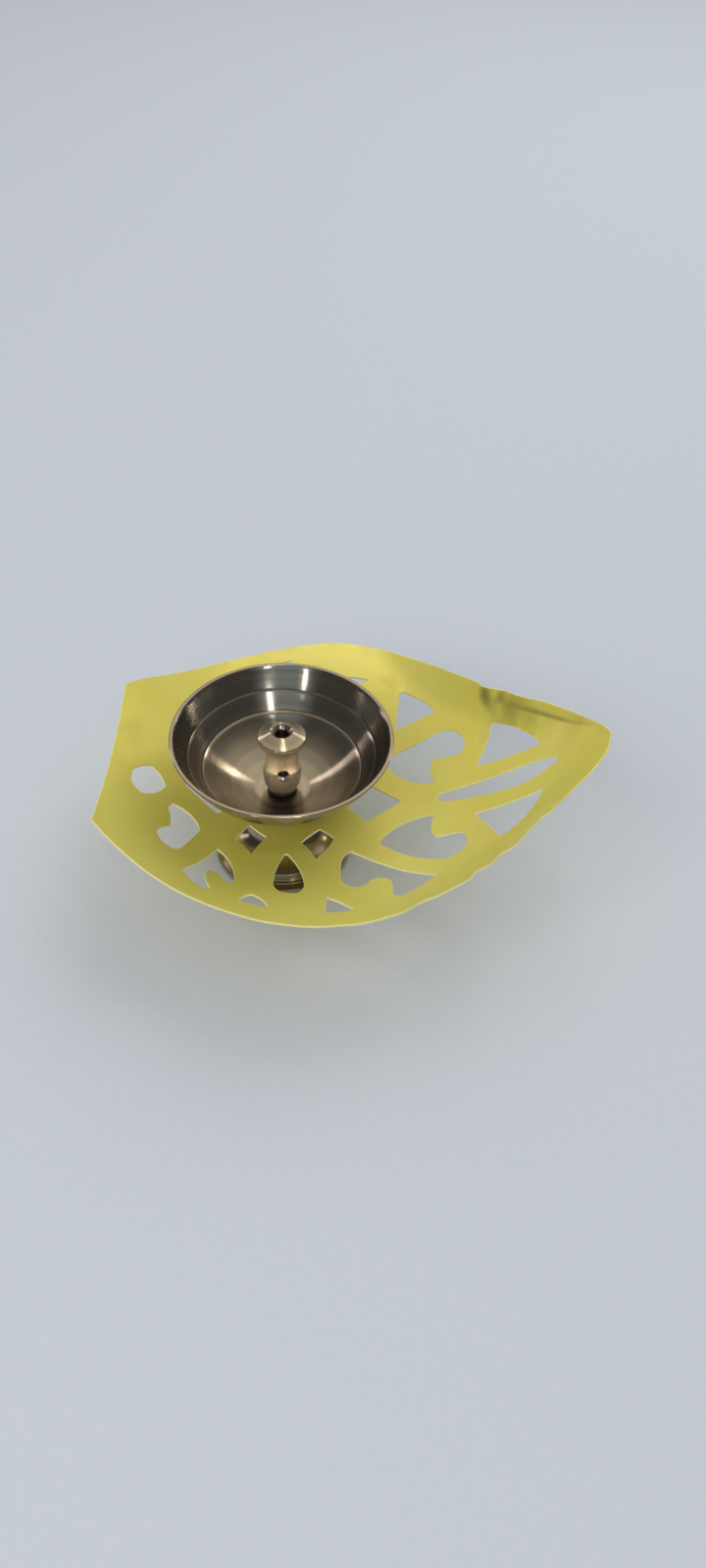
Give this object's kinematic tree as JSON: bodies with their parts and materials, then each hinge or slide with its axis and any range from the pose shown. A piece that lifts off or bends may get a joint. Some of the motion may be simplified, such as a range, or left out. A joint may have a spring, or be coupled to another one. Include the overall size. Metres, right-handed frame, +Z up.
{
  "type": "diya oil lamp",
  "caption": "Small diya oil lamp: a round oil bowl with a standing wick holder, on a dished leaf plate with cut-out scrollwork and a turned pedestal foot.",
  "frame": {"origin": "middle of the foot's flat underside, on the lamp's clamping axis", "axes": "+Z up the clamping axis; +X along the leaf from its blunt heel to its tip; +Y across the leaf"},
  "size_m": [0.1121, 0.0913, 0.0418],
  "materials": {
    "polished_bronze": "polished, turned",
    "turned_bronze": "polished with fine turning lines",
    "gold_lacquer": "satin gold lacquer on thin sheet",
    "zinc_steel": "plated",
    "dark_fibre": "matt"
  },
  "bodies": {
    "base": {"foot": "polished_bronze", "centre_stud": "zinc_steel"},
    "leaf": {"leaf_plate": "gold_lacquer"},
    "bowl": {"oil_bowl": "turned_bronze", "seal_washer": "dark_fibre"},
    "wick_holder": {"wick_holder": "turned_bronze"}
  },
  "joints": [
    {"name": "leaf_swivel", "type": "hinge", "parent": "base", "child": "leaf", "pos_m": [0, 0, 0.018], "axis": [0, 0, 1], "continuous": true},
    {"name": "bowl_lift", "type": "slide", "parent": "base", "child": "bowl", "axis": [0, 0, 1], "range_m": [0, 0.03]},
    {"name": "wick_holder_lift", "type": "slide", "parent": "bowl", "child": "wick_holder", "axis": [0, 0, 1], "range_m": [0, 0.025]}
  ]
}
